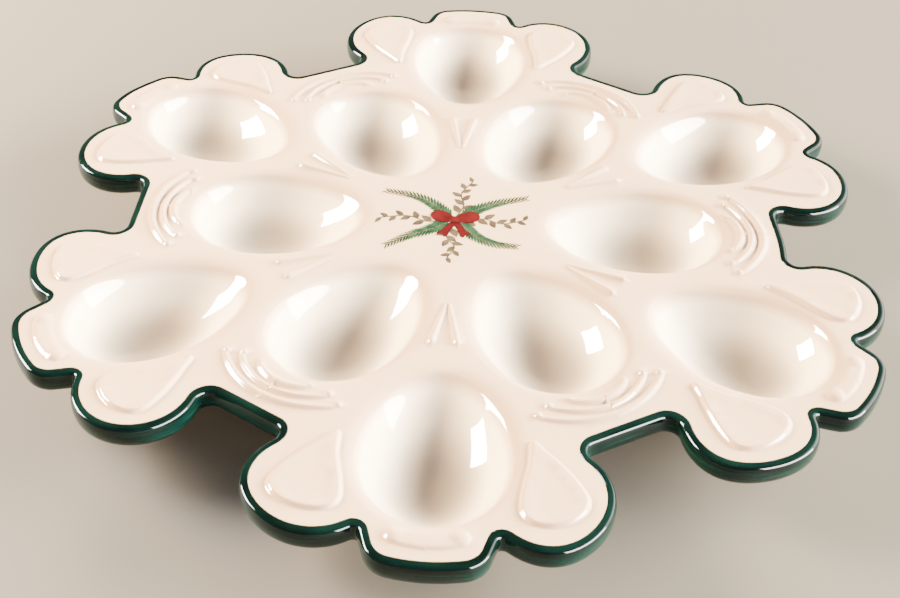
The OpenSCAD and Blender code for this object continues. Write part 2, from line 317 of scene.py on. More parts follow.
def line_distance(x, y, line):
    """Distance to a closed line, positive inside it."""
    p = np.c_[np.ravel(x), np.ravel(y)]
    best, inside = np.full(len(p), np.inf), np.zeros(len(p), bool)
    for s, e in zip(line, np.roll(line, -1, axis=0)):
        d, rel = e - s, p - s
        t = np.clip((rel @ d) / max(d @ d, TINY), 0, 1)
        off = rel - t[:, None] * d
        best = np.minimum(best, (off * off).sum(1))
        if s[1] != e[1]:
            crosses = (s[1] > p[:, 1]) != (e[1] > p[:, 1])
            inside ^= crosses & (p[:, 0] < s[0] + (p[:, 1] - s[1]) * d[0] / d[1])
    return (np.sqrt(best) * np.where(inside, 1, -1)).reshape(np.shape(x))


def smooth_step(lo, hi, v):
    t = np.clip((v - lo) / (hi - lo), 0, 1)
    return t * t * (3 - 2 * t)


def bell(d, w):
    return np.maximum(1 - (d / w) ** 2, 0) ** 1.5


def scroll_height(x, y, mid, r, half_a, w):
    """Ridge round an arc, thinner towards its ends, with a bead at each end."""
    half_a = math.radians(half_a)
    centre = mid - r
    a = np.abs(np.arctan2(y, x - centre)) / half_a
    d = np.abs(np.hypot(x - centre, y) - r)
    spread = w / 2 * SCROLL_SPREAD * (1 - SCROLL_THINNING * np.minimum(a, 1) ** 2)
    z = SCROLL_H * bell(d, spread) * np.maximum(1 - a ** 6, 0) ** 0.5
    bx, by = centre + (r - BEAD_IN) * math.cos(half_a), (r - BEAD_IN) * math.sin(half_a)
    return np.maximum(z, SCROLL_H * bell(np.hypot(x - bx, np.abs(y) - by), BEAD_R))


def relief(x, y):
    x, y = np.asarray(x, float), np.asarray(y, float)
    d = line_distance(x, np.abs(y), LEAF)
    z = LEAF_H * smooth_step(*PAD_EASE, d) + ROLL_H * bell(d - ROLL_IN, ROLL_R)
    vx, vy = turned(x, y, -HALF_A)
    for scroll in SCROLLS:
        z = np.maximum(z, scroll_height(vx, vy, *scroll))
    centre = BAR_MID - BAR_R
    ends = centre + BAR_R * math.cos(BAR_HALF_A), BAR_R * math.sin(BAR_HALF_A)
    to_end = np.hypot(x - ends[0], np.abs(y) - ends[1])
    on_arc = np.abs(np.arctan2(y, x - centre)) < BAR_HALF_A
    d = np.where(on_arc, np.abs(np.hypot(x - centre, y) - BAR_R), to_end)
    z = np.maximum(z, BAR_H * smooth_step(*PAD_EASE, BAR_HALF_W - d) + KNOB_H * bell(to_end, KNOB_R))
    run = CHEVRON[1] - CHEVRON[0]
    t = np.clip(((x - CHEVRON[0][0]) * run[0] + (np.abs(y) - CHEVRON[0][1]) * run[1]) / (run @ run), 0, 1)
    d = np.hypot(x - CHEVRON[0][0] - t * run[0], np.abs(y) - CHEVRON[0][1] - t * run[1])
    return np.maximum(z, (CHEVRON_H + CHEVRON_RISE * t) * bell(d, CHEVRON_R + CHEVRON_SWELL * t))


# Rows beside each line, in millimetres or in shares of a scroll's half width, and rings of points
# round a bead or a knob, each with its count
LEAF_ROWS = (-0.9, -0.55, -0.2, 0.15, 0.5, 0.85, 1.2)
SCROLL_ROWS, SCROLL_PITCH = (-1.2, -0.9, -0.6, -0.3, 0, 0.3, 0.6, 0.9, 1.2), 0.7
BEAD_RINGS = ((0.1, 1), (0.45, 6), (0.9, 10), (1.35, 14), (1.8, 16))
BAR_ROWS, BAR_STEPS = (-3.8, -3.4, -3, -2.6, -2.2, -1.2, 0, 1.2, 2.2, 2.6, 3, 3.4, 3.8), 30
KNOB_RINGS = ((0.8, 8), (1.5, 12), (2.2, 16), (2.6, 20), (3.0, 22), (3.4, 24), (3.8, 26))
CHEVRON_ROWS, CHEVRON_STEPS = (-1.5, -1.1, -0.75, -0.4, 0, 0.4, 0.75, 1.1, 1.5), 34
CHEVRON_ENDS = np.array([[0.8, 0.15], [1.4, 0.25]])


def rings_round(cx, cy, rings):
    """Points on circles round a place, as two lists for each circle."""
    for ring, count in rings:
        a = np.arange(count) * 2 * math.pi / count
        yield cx + ring * np.cos(a), cy + ring * np.sin(a)


def relief_points():
    """Rows of places along every ornament, close enough to carry its shape."""
    rows = [beside(LEAF, off) for off in LEAF_ROWS]
    for mid, r, half_a, w in SCROLLS:
        half_a = math.radians(half_a)
        for off in SCROLL_ROWS:
            line = arc_line(mid - r, r + off * w / 2, half_a, int(2 * r * half_a / SCROLL_PITCH))
            rows.append(np.c_[turned(line[:, 0], line[:, 1], HALF_A)])
        bx, by = mid - r + (r - BEAD_IN) * math.cos(half_a), -(r - BEAD_IN) * math.sin(half_a)
        rows += [np.c_[turned(x, y, HALF_A)] for x, y in rings_round(bx, by, BEAD_RINGS)]
    centre = BAR_MID - BAR_R
    rows += [arc_line(centre, BAR_R + off, BAR_HALF_A, BAR_STEPS) for off in BAR_ROWS]
    end = centre + BAR_R * math.cos(BAR_HALF_A), BAR_R * math.sin(BAR_HALF_A)
    rows += [np.c_[x, y] for x, y in rings_round(*end, KNOB_RINGS)]
    line = np.linspace(CHEVRON[0] - CHEVRON_ENDS[0], CHEVRON[1] + CHEVRON_ENDS[1], CHEVRON_STEPS)
    rows += [beside(line, off, closed=False) for off in CHEVRON_ROWS]
    return np.concatenate(rows)


print("relief points:", len(relief_points()))

# %% [markdown]
# ## A mesh for one half lobe
# Twelve half lobes make the platter, so only one is meshed. The wells, the lips and the rim are
# grids that follow their own shape. The flat land between them is filled by a triangulation with a
# row of points wherever the relief needs them. The pieces share their border points, which are
# merged later.


# %% Mesh helpers
# The triangulation keeps the triangles inside its border, and joins points closer than this
CDT_INSIDE, CDT_GAP = 1, 1e-5


class Patchwork:
    """Vertices and faces gathered from several grids and fills, in millimetres."""

    def __init__(self):
        self.verts, self.faces = [], []

    def grid(self, rows):
        """rows is a list of equally long rows of points."""
        base, n = len(self.verts), len(rows[0])
        for row in rows:
            self.verts += [tuple(p) for p in row]
        for j in range(len(rows) - 1):
            for i in range(n - 1):
                a = base + j * n + i
                self.faces.append((a, a + 1, a + n + 1, a + n))

    def fan(self, centre, row):
        base = len(self.verts)
        self.verts += [tuple(centre)] + [tuple(p) for p in row]
        self.faces += [(base, base + i, base + i + 1) for i in range(1, len(row))]

    def fill(self, loop, inner, height):
        """Fills a closed line of plan points, with more points inside it."""
        n = len(loop)
        places = [Vector(p) for p in loop] + [Vector(p) for p in inner]
        edges = [(i, (i + 1) % n) for i in range(n)]
        out, _, tris, _, _, _ = delaunay_2d_cdt(places, edges, [], CDT_INSIDE, CDT_GAP)
        p = np.array([(v.x, v.y) for v in out])
        z = height(p[:, 0], p[:, 1])
        base = len(self.verts)
        self.verts += [(a[0], a[1], b) for a, b in zip(p, z)]
        self.faces += [tuple(base + i for i in t) for t in tris]
        return len(tris)


def inside_points(points, loop, margin):
    return points[line_distance(points[:, 0], points[:, 1], loop) > margin]


def hex_points(pitch):
    """Even points over the half lobe's box, each row shifted by half a pitch from the last."""
    out = []
    for j, y in enumerate(np.arange(0, scallop_c[1] + scallop_r, pitch * math.sqrt(3) / 2)):
        x = np.arange((j % 2) * pitch / 2, tip_reach, pitch)
        out.append(np.c_[x, np.full(len(x), y)])
    return np.concatenate(out)


def apart(points, others, gap, batch=400):
    """The points that lie further than gap from all the others, worked out a batch at a time."""
    keep = np.ones(len(points), bool)
    for i in range(0, len(points), batch):
        some = points[i:i + batch, None] - others
        keep[i:i + batch] = np.hypot(some[..., 0], some[..., 1]).min(1) > gap
    return points[keep]


# %% [markdown]
# The rings of a well are drawn as shares of the distance from its lowest point to its mouth, and
# crowd together at the lip, where the surface turns over in a few millimetres.

# %% Well rings
# The shares of the way to the mouth, the steps beyond it in millimetres, and the places on a ring
TOP_RINGS = ((0.1, 0.22, 0.34, 0.46, 0.57, 0.67, 0.75, 0.82, 0.875, 0.915, 0.94, 0.96, 0.975, 0.988, 1.0),
             (0.35, 0.7, 1.05, 1.45, 1.9, 2.4, 3.0), 56)
UNDER_RINGS = ((0.15, 0.32, 0.48, 0.62, 0.74, 0.84, 0.92, 1.0), (1.0, 2.0, 3.2), 28)
# Which half of its well a half lobe holds, and how far the well is turned: the outer and the inner one
WELL_HALVES = ((1, 0), (-1, HALF_A))


def well_rows(bowl, level, rings, side, turn, height):
    """Rings round a well's lowest point, from the inside out, over the half that side gives."""
    shares, steps, count = rings
    ways = side * np.linspace(0, math.pi, count + 1)
    reach = bowl.mouth(ways, level)
    rows = []
    for r in [reach * s for s in shares] + [reach + s for s in steps]:
        wx, wy = bowl.low + r * np.cos(ways), r * np.sin(ways)
        wy[0] = wy[-1] = 0
        x, y = turned(wx, wy, turn)
        rows.append(np.c_[x, y, height(x, y)])
    cx, cy = turned(np.array([bowl.low]), np.array([0.0]), turn)
    centre = (cx[0], cy[0], height(cx, cy)[0])
    return centre, rows


def mesh_wells(work, bowls, level, rings, height):
    """Meshes both half wells and gives the outermost ring of each."""
    outermost = []
    for bowl, (side, turn) in zip(bowls, WELL_HALVES):
        centre, rows = well_rows(bowl, level, rings, side, turn, height)
        work.fan(centre, rows[0])
        work.grid(rows)
        outermost.append(rows[-1])
    return outermost


def straight(p, q, pitch):
    p, q = np.asarray(p, float), np.asarray(q, float)
    n = max(1, round(np.linalg.norm(q - p) / pitch))
    return [p + (q - p) * i / n for i in range(n)]


def land_loop(outer_ring, inner_ring, edge, pitch):
    """Closed line round the flat land of a half lobe, between two half wells and the edge."""
    o, i = outer_ring[:, :2], inner_ring[:, :2]
    loop = straight((0, 0), o[-1], pitch) + list(o[::-1][:-1])
    loop += straight(o[0], edge[0], pitch) + list(edge[:-1])
    loop += straight(edge[-1], i[0], pitch) + list(i[:-1])
    return np.array(loop + straight(i[-1], (0, 0), pitch))


# %% Top of the half lobe
# How far in from the outline the rim's section starts, and the thickness of the green coat on it
EDGE_START, COAT = 2.1, 0.25
# Pitches of the border and of the even points, and how far points stay from the border and apart
TOP_BORDER, TOP_PITCH, MARK_MARGIN, TOP_MARGIN, TOP_GAP = 2.0, 2.6, 0.35, 1.1, 1.3
UNDER_BORDER, UNDER_PITCH, UNDER_MARGIN = 3.0, 4.0, 1.8


def make_top(work):
    outer, inner = mesh_wells(work, hollows, deck_h, TOP_RINGS, top_height)
    loop = land_loop(outer, inner, edge_p - EDGE_START * edge_n, TOP_BORDER)
    marks = inside_points(relief_points(), loop, MARK_MARGIN)
    marks = marks[marks[:, 1] > MARK_MARGIN]
    land = inside_points(hex_points(TOP_PITCH), loop, TOP_MARGIN)
    land = apart(land, marks, TOP_GAP)
    return work.fill(loop, np.concatenate([marks, land]), top_height)


# %% [markdown]
# The rim is one section, given as distance out from the outline and height from the deck's top:
# a rounded shoulder, a swelling side, a rolled lower edge and the inner face. The body's section
# lies a coat's thickness inside the one that the green glaze shows.

# %% Rim section
COAT_MARKS = ((-1.8, 0.0), (-0.8, -0.01), (0.0, -0.11), (0.5, -0.42), (0.86, -1.0), (1.08, -1.9),
              (1.17, -3.0), (rim_bulge - 0.01, -4.1), (1.06, -5.4), (0.66, -6.6), (-0.05, -7.5),
              (-0.95, -7.95), (-1.6, -rim_h))
INNER_MARKS = ((-2.2, -7.9), (-2.95, -7.6), (-3.45, -7.0), (-3.65, -6.2), (-3.7, -5.6), (-4.0, -5.0),
               (-4.6, -4.65), (-5.4, -deck_t))
EDGE_FLAT = 0.3

coat_skin = round_line(COAT_MARKS, 2, closed=False)


def body_section():
    # Its first two places would lie under the coat's brushed line, where the deck is still flat
    under_coat = beside(coat_skin, -COAT, closed=False)[2:]
    start = [(-EDGE_START, 0), (-EDGE_START + EDGE_FLAT, 0)]
    return np.concatenate([start, under_coat, INNER_MARKS])


def make_rim(work):
    section = body_section()
    work.grid([[(*(a + u * b), deck_h + w) for a, b in zip(edge_p, edge_n)] for u, w in section])
    return edge_p + section[-1][0] * edge_n


def make_under(work, edge):
    outer, inner = mesh_wells(work, cups, deck_h - deck_t, UNDER_RINGS, under_height)
    loop = land_loop(outer, inner, edge, UNDER_BORDER)
    land = inside_points(hex_points(UNDER_PITCH), loop, UNDER_MARGIN)
    return work.fill(loop, land, under_height)


work = Patchwork()
print("land triangles:", make_top(work))
print("underside triangles:", make_under(work, make_rim(work)))
print("half lobe:", len(work.verts), "points", len(work.faces), "faces")


# %% [markdown]
# ## Six lobes from one half
# Geometry Nodes repeat what follows a rule. This tree mirrors the half lobe, joins the two, sets a
# copy at each sixth of a turn and merges the borders. The half lobe alone is edited, and the whole
# platter follows. The result is turned into a plain mesh.

# %% The tree that repeats a half lobe
MERGE_GAP = 0.002


def add(tree, kind, inputs=None, **settings):
    """A node with its settings and with each input given a value or linked to an output."""
    made = tree.nodes.new(kind)
    for name, value in settings.items():
        setattr(made, name, value)
    for name, value in (inputs or {}).items():
        for one in value if isinstance(value, list) else [value]:
            if isinstance(one, bpy.types.NodeSocket):
                tree.links.new(one, made.inputs[name])
            else:
                made.inputs[name].default_value = one
    return made


def new_tree(name, sockets):
    tree = bpy.data.node_groups.new(name, "GeometryNodeTree")
    tree.interface.new_socket("Geometry", in_out="INPUT", socket_type="NodeSocketGeometry")
    for label, kind in sockets.items():
        tree.interface.new_socket(label, in_out="INPUT", socket_type="NodeSocket" + kind)
    tree.interface.new_socket("Geometry", in_out="OUTPUT", socket_type="NodeSocketGeometry")
    return tree, tree.nodes.new("NodeGroupInput").outputs


def end_tree(tree, geometry, material):
    """Realizes what came, gives it its material and sends it out."""
    real = add(tree, "GeometryNodeRealizeInstances", {0: geometry})
    paint = add(tree, "GeometryNodeSetMaterial", {"Geometry": real.outputs[0], "Material": material})
    add(tree, "NodeGroupOutput", {0: paint.outputs[0]})
    return tree


def lobe_tree():
    tree, given = new_tree("Repeat a half lobe", {
        "Lobes": "Int", "Turn per lobe": "Float", "First turn": "Float", "Merge gap": "Float",
        "Material": "Material"})
    mirrored = add(tree, "GeometryNodeTransform", {"Geometry": given["Geometry"], "Scale": (1, -1, 1)})
    flipped = add(tree, "GeometryNodeFlipFaces", {"Mesh": mirrored.outputs[0]})
    lobe = add(tree, "GeometryNodeJoinGeometry", {0: [given["Geometry"], flipped.outputs[0]]})
    places = add(tree, "GeometryNodePoints", {"Count": given["Lobes"]})
    index = add(tree, "GeometryNodeInputIndex")
    turn = add(tree, "ShaderNodeMath",
               {0: index.outputs[0], 1: given["Turn per lobe"], 2: given["First turn"]},
               operation="MULTIPLY_ADD")
    euler = add(tree, "ShaderNodeCombineXYZ", {"Z": turn.outputs[0]})
    rotation = add(tree, "FunctionNodeEulerToRotation", {0: euler.outputs[0]})
    placed = add(tree, "GeometryNodeInstanceOnPoints", {
        "Points": places.outputs[0], "Instance": lobe.outputs[0], "Rotation": rotation.outputs[0]})
    real = add(tree, "GeometryNodeRealizeInstances", {0: placed.outputs[0]})
    merged = add(tree, "GeometryNodeMergeByDistance", {
        "Geometry": real.outputs[0], "Distance": given["Merge gap"]})
    smooth = add(tree, "GeometryNodeSetShadeSmooth", {"Geometry": merged.outputs[0]})
    return end_tree(tree, smooth.outputs[0], given["Material"])


def set_inputs(modifier, tree, values):
    for item in tree.interface.items_tree:
        if item.item_type == "SOCKET" and item.in_out == "INPUT" and item.name in values:
            modifier[item.identifier] = values[item.name]


def plain_mesh(obj, name):
    """The evaluated object as a plain mesh on a new object, with its modifiers gone."""
    bpy.context.view_layer.update()
    graph = bpy.context.evaluated_depsgraph_get()
    mesh = bpy.data.meshes.new_from_object(obj.evaluated_get(graph))
    mesh.name = name
    bpy.data.objects.remove(obj)
    return add_object(name, mesh)


def add_object(name, data):
    """A new object that holds the data, in the scene."""
    made = bpy.data.objects.new(name, data)
    bpy.context.scene.collection.objects.link(made)
    return made


def grow(name, source, tree, values):
    """Runs a tree on source data and keeps the plain mesh that it gives."""
    seed = add_object(name + "_source", source)
    modifier = seed.modifiers.new("Grow", "NODES")
    modifier.node_group = tree
    set_inputs(modifier, tree, values)
    return plain_mesh(seed, name)


def mesh_of(name, verts, faces=(), edges=()):
    mesh = bpy.data.meshes.new(name)
    mesh.from_pydata([tuple(c * MM for c in v) for v in verts], list(edges), list(faces))
    return mesh


def face_outward(obj):
    bm = bmesh.new()
    bm.from_mesh(obj.data)
    bmesh.ops.recalc_face_normals(bm, faces=bm.faces)
    open_edges = sum(1 for e in bm.edges if len(e.link_faces) != 2)
    volume = bm.calc_volume() / (10 * MM) ** 3
    bm.to_mesh(obj.data)
    bm.free()
    print(f"{obj.name}: {len(obj.data.polygons)} faces, {open_edges} open edges, {volume:.1f} cm3")


# %% [markdown]
# ## Glazes
# A glaze is glass over clay: a base colour with a soft mottle from the kiln, and a smooth clear
# surface that mirrors the lights.


# %% Glaze materials
# Between these heights a glaze takes its painted light on the walls, and the cream glaze its painted
# shade at the well bottoms
PAINTED_LIGHT_SPAN, PAINTED_SHADE_SPAN = (deck_h - 1, deck_h - 5), (deck_h - 9, deck_h - well_depth)


def new_material(name):
    mat = bpy.data.materials.new(name)
    mat.use_nodes = True
    tree = mat.node_tree
    shader = next(n for n in tree.nodes if n.type == "BSDF_PRINCIPLED")
    return mat, tree, shader


def mottle(tree, shader, light, dark, scale, spread):
    """A base colour that drifts between two shades; a larger spread makes the change softer."""
    kinds = "ShaderNodeTexCoord", "ShaderNodeTexNoise", "ShaderNodeValToRGB"
    coords, noise, ramp = (tree.nodes.new(kind) for kind in kinds)
    noise.inputs["Scale"].default_value = scale
    noise.inputs["Detail"].default_value = 4
    tree.links.new(coords.outputs["Object"], noise.inputs["Vector"])
    tree.links.new(noise.outputs["Fac"], ramp.inputs["Fac"])
    ramp.color_ramp.elements[0].position = 0.5 - spread
    ramp.color_ramp.elements[1].position = 0.5 + spread
    ramp.color_ramp.elements[0].color = (*dark, 1)
    ramp.color_ramp.elements[1].color = (*light, 1)
    tree.links.new(ramp.outputs["Color"], shader.inputs["Base Color"])
    return coords, noise, ramp


def paint_light_and_shade(tree, shader, coords, colour, span, tint):
    """Multiplies the colour by a tint, from none at one height to all of it at another: painted light
    where the tint is above one, painted shade where it is below.
    """
    height = tree.nodes.new("ShaderNodeSeparateXYZ")
    tree.links.new(coords.outputs["Object"], height.inputs[0])
    share = tree.nodes.new("ShaderNodeMapRange")
    share.interpolation_type = "SMOOTHSTEP"
    share.inputs["From Min"].default_value = span[0] * MM
    share.inputs["From Max"].default_value = span[1] * MM
    tree.links.new(height.outputs["Z"], share.inputs["Value"])
    mix = tree.nodes.new("ShaderNodeMix")
    mix.data_type, mix.blend_type = "RGBA", "MULTIPLY"
    first, second = (i for i in mix.inputs if i.type == "RGBA")
    tree.links.new(share.outputs[0], mix.inputs["Factor"])
    tree.links.new(colour, first)
    second.default_value = (*tint, 1)
    result = next(o for o in mix.outputs if o.type == "RGBA")
    tree.links.new(result, shader.inputs["Base Color"])
    return result


def cream_glaze():
    """Warm glaze with painted light and shade: a well's walls are painted paler, as if lit, and its
    bottom is painted darker, as if in shade.
    """
    mat, tree, shader = new_material("cream glaze")
    coords, _, ramp = mottle(tree, shader, (0.565, 0.425, 0.33), (0.545, 0.405, 0.315), 30, 0.2)
    # Painted light: the walls of a well are made paler, as if lit from the side
    painted_wall_light = paint_light_and_shade(tree, shader, coords, ramp.outputs["Color"], PAINTED_LIGHT_SPAN, (1.64, 2.0, 2.25))
    # Painted shade: the bottom of a well is made darker, as if shaded by its walls
    paint_light_and_shade(tree, shader, coords, painted_wall_light, PAINTED_SHADE_SPAN, (0.35, 0.34, 0.355))
    shader.inputs["Roughness"].default_value = 0.04
    shader.inputs["IOR"].default_value = 1.55
    waves(tree, shader, coords, 45, 0.035)
    return mat


def waves(tree, shader, coords, scale, depth):
    """The faint waviness of a poured glaze, in millimetres."""
    noise, bump = tree.nodes.new("ShaderNodeTexNoise"), tree.nodes.new("ShaderNodeBump")
    noise.inputs["Scale"].default_value = scale
    noise.inputs["Detail"].default_value = 1
    bump.inputs["Distance"].default_value = depth * MM
    tree.links.new(coords.outputs["Object"], noise.inputs["Vector"])
    tree.links.new(noise.outputs["Fac"], bump.inputs["Height"])
    tree.links.new(bump.outputs["Normal"], shader.inputs["Normal"])


def green_glaze():
    """Darker glaze, brushed round the rim, so its streaks run along it. Painted light makes it lighter on
    the side.
    """
    mat, tree, shader = new_material("green glaze")
    coords, noise, ramp = mottle(tree, shader, (0.0014, 0.0095, 0.009), (0.0002, 0.0027, 0.0024), 1, 0.14)
    stretch = tree.nodes.new("ShaderNodeMapping")
    stretch.inputs["Scale"].default_value = (55, 55, 900)
    tree.links.new(coords.outputs["Object"], stretch.inputs["Vector"])
    tree.links.new(stretch.outputs[0], noise.inputs["Vector"])
    # Painted light: the side of the rim below the deck is made about three times lighter, as if lit
    paint_light_and_shade(tree, shader, coords, ramp.outputs["Color"], PAINTED_LIGHT_SPAN, (3.2, 3, 3))
    shader.inputs["Roughness"].default_value = 0.05
    shader.inputs["Specular IOR Level"].default_value = 0.23
    waves(tree, shader, coords, 160, 0.05)
    return mat


def bare_clay():
    mat, tree, shader = new_material("bare clay")
    mottle(tree, shader, (0.62, 0.52, 0.4), (0.5, 0.4, 0.29), 600, 0.25)
    shader.inputs["Roughness"].default_value = 0.9
    return mat


CREAM, GREEN, CLAY = cream_glaze(), green_glaze(), bare_clay()
body = grow("glazed_body", mesh_of("half_lobe", work.verts, work.faces), lobe_tree(), {
    "Lobes": LOBES, "Turn per lobe": 2 * HALF_A, "First turn": HALF_A, "Merge gap": MERGE_GAP * MM,
    "Material": CREAM})
face_outward(body)

# %% [markdown]
# ## The green coat
# The green glaze covers the rim's outer side, from a brushed line on the deck's edge to under the
# roll. A tree sweeps its section along the whole outline, as a brush goes round it. The coat is a
# quarter of a millimetre thick, thins to nothing at both ends and is let a little into the body.

# %% Green coat
COAT_INTO_BODY, COAT_PROUD = 0.1, 0.02


def sweep_tree():
    tree, given = new_tree("Sweep a section round the outline", {
        "Section": "Object", "Material": "Material"})
    path = add(tree, "GeometryNodeMeshToCurve", {0: given["Geometry"]})
    upright = add(tree, "GeometryNodeSetCurveNormal", {0: path.outputs[0]})
    set_mode(upright, "Z_UP")
    section = add(tree, "GeometryNodeObjectInfo", {"Object": given["Section"]})
    profile = add(tree, "GeometryNodeMeshToCurve", {0: section.outputs["Geometry"]})
    swept = add(tree, "GeometryNodeCurveToMesh", {
        "Curve": upright.outputs[0], "Profile Curve": profile.outputs[0]})
    smooth = add(tree, "GeometryNodeSetShadeSmooth", {"Geometry": swept.outputs[0]})
    return end_tree(tree, smooth.outputs[0], given["Material"])


def set_mode(node, mode):
    """Some nodes keep their mode as an attribute and some as a menu input."""
    if hasattr(node, "mode"):
        node.mode = mode
    else:
        node.inputs["Mode"].default_value = mode


def ring_edges(n):
    return [(i, (i + 1) % n) for i in range(n)]


def whole_outline():
    lobe = np.concatenate([edge_p[::-1][1:] * [1, -1], edge_p[1:]])
    out = []
    for k in range(LOBES):
        x, y = turned(lobe[:, 0], lobe[:, 1], HALF_A + 2 * HALF_A * k)
        out.append(np.c_[x, y][:-1])
    return np.concatenate(out)


def closed_line(name, places):
    return mesh_of(name, places, edges=ring_edges(len(places)))


hidden = beside(coat_skin, -COAT - COAT_INTO_BODY, closed=False)[1:-1][::-1]
coat_line = np.concatenate([coat_skin + [0, COAT_PROUD], hidden])
section = add_object("coat_section", closed_line("coat_section", [(u, -w, 0) for u, w in coat_line]))
path = closed_line("outline", [(x, y, deck_h) for x, y in whole_outline()])
rim = grow("rim_glaze", path, sweep_tree(), {"Section": section, "Material": GREEN})
bpy.data.objects.remove(section)
face_outward(rim)
reach, height = (np.array([v.co[i] for v in rim.data.vertices]) / MM for i in (1, 2))
print(f"coat reaches {abs(reach).max():.2f} mm out and {height.min():.2f} to {height.max():.2f} mm up")

# %% [markdown]
# ## The print
# The middle carries a small fired print: four fir twigs and four fern sprays tied with a bow. Inks
# are laid on the glaze as shapes a few hundredths of a millimetre thick. Two trees draw it: one
# sets leaves along the drawn stems, alternately left and right, and one gives the stems their
# width. The bow is a handful of closed shapes on top.

# %% Trees for the print
STEM_SIDES, STEM_FLATNESS = 8, 0.12


def alternate(tree, given, factor):
    """Turn and size of each leaf: off to one side and then the other, smaller towards the tip."""
    step = add(tree, "ShaderNodeMath", {0: factor.outputs["Index"], 1: 2.0}, operation="MODULO")
    side = add(tree, "ShaderNodeMath", {0: step.outputs[0], 1: 2.0, 2: -1.0}, operation="MULTIPLY_ADD")
    run = add(tree, "ShaderNodeSeparateXYZ", {0: add(tree, "GeometryNodeInputTangent").outputs[0]})
    along = add(tree, "ShaderNodeMath", {0: run.outputs["Y"], 1: run.outputs["X"]}, operation="ARCTAN2")
    turn = add(tree, "ShaderNodeMath", {0: side.outputs[0], 1: given["Spread"], 2: along.outputs[0]},
               operation="MULTIPLY_ADD")
    euler = add(tree, "ShaderNodeCombineXYZ", {"Z": turn.outputs[0]})
    size = add(tree, "ShaderNodeMapRange", {
        "Value": factor.outputs["Factor"], "To Min": 1.0, "To Max": given["Tip share"]})
    return add(tree, "FunctionNodeEulerToRotation", {0: euler.outputs[0]}), size


def leaf_tree():
    tree, given = new_tree("Set leaves along stems", {
        "Leaf": "Object", "Leaves": "Int", "Spread": "Float", "Tip share": "Float", "Level": "Vector",
        "Material": "Material"})
    stems = add(tree, "GeometryNodeMeshToCurve", {0: given["Geometry"]})
    spaced = add(tree, "GeometryNodeResampleCurve", {"Curve": stems.outputs[0], "Count": given["Leaves"]})
    turn, size = alternate(tree, given, add(tree, "GeometryNodeSplineParameter"))
    leaf = add(tree, "GeometryNodeObjectInfo", {"Object": given["Leaf"]})
    placed = add(tree, "GeometryNodeInstanceOnPoints", {
        "Points": spaced.outputs[0], "Instance": leaf.outputs["Geometry"],
        "Rotation": turn.outputs[0], "Scale": size.outputs[0]})
    laid = add(tree, "GeometryNodeTransform", {
        "Geometry": placed.outputs[0], "Translation": given["Level"]})
    return end_tree(tree, laid.outputs[0], given["Material"])


def stem_tree():
    tree, given = new_tree("Give stems their width", {
        "Width": "Float", "Level": "Vector", "Material": "Material"})
    stems = add(tree, "GeometryNodeMeshToCurve", {0: given["Geometry"]})
    half = add(tree, "ShaderNodeMath", {0: given["Width"], 1: 2.0}, operation="DIVIDE")
    circle = add(tree, "GeometryNodeCurvePrimitiveCircle", {
        "Resolution": STEM_SIDES, "Radius": half.outputs[0]})
    swept = add(tree, "GeometryNodeCurveToMesh", {
        "Curve": stems.outputs[0], "Profile Curve": circle.outputs[0], "Fill Caps": True})
    flat = add(tree, "GeometryNodeTransform", {
        "Geometry": swept.outputs[0], "Scale": (1, 1, STEM_FLATNESS), "Translation": given["Level"]})
    return end_tree(tree, flat.outputs[0], given["Material"])


def ink(name, light, dark, scale=350):
    mat, tree, shader = new_material(name)
    mottle(tree, shader, light, dark, scale, 0.16)
    shader.inputs["Roughness"].default_value = 0.06
    shader.inputs["IOR"].default_value = 1.55
    return mat


INK_GREEN = ink("green ink", (0.016, 0.055, 0.03), (0.005, 0.023, 0.013))
INK_TAUPE = ink("taupe ink", (0.075, 0.06, 0.043), (0.036, 0.029, 0.021))
INK_RED = ink("red ink", (0.06, 0.0035, 0.004), (0.032, 0.002, 0.002))
INK_WINE = ink("wine ink", (0.03, 0.0022, 0.0025), (0.018, 0.0014, 0.0015))

# %% [markdown]
# The stems are drawn as a few marks each, out from the bow. A fir needle and a fern leaflet
# are thin prisms, drawn once. Every kind of shape in one ink becomes a piece, and its height above
# the deck, in millimetres, says which ink lies on top.

# %% Print pieces
FIR_STEMS = (((2, 1.2), (8.5, 7.4), (16, 11.8), (25.5, 15.2)),
             ((-2, 1.4), (-8, 8.6), (-15.5, 13.6), (-26, 16)),
             ((-2, -1.2), (-9.5, -6.8), (-16, -10.6), (-23.5, -16.6)),
             ((2, -1.6), (7.5, -8.8), (14.5, -13), (22.5, -14)))
FERN_STEMS = (((0.4, 2), (2.8, 9), (1.6, 16.5), (5.4, 24)),
              ((0, -3), (-2.4, -10), (0.6, -16), (-1.6, -22)),
              ((3, 0), (10.5, 1.4), (17, -1), (25, 1.6)),
              ((-3, 0.2), (-10, -1.6), (-17.5, 1.2), (-27, -0.6)))
NEEDLE = ((0, 0), (0.3, 0.4), (1.9, 0.64), (3.9, 0.4), (5.3, 0), (3.9, -0.4), (1.9, -0.64), (0.3, -0.4))
LEAFLET = ((0, 0), (0.9, 0.9), (2.4, 1.55), (4.1, 1.1), (5.8, 0), (4.1, -1.1), (2.4, -1.55), (0.9, -0.9))
BOW_LOOP = ((0.4, 0.7), (2.6, 3.6), (5.9, 5.0), (8.4, 3.4), (8.2, 0.6), (5.4, -1.2), (2.2, -1.2),
            (0.4, -0.6))
BOW_TAIL = ((0.2, -0.4), (2.1, -3.0), (3.6, -5.6), (5.8, -8.2), (4.2, -8.4), (3.0, -10.0), (1.5, -6.0),
            (0.1, -2.8), (-0.7, -0.5))
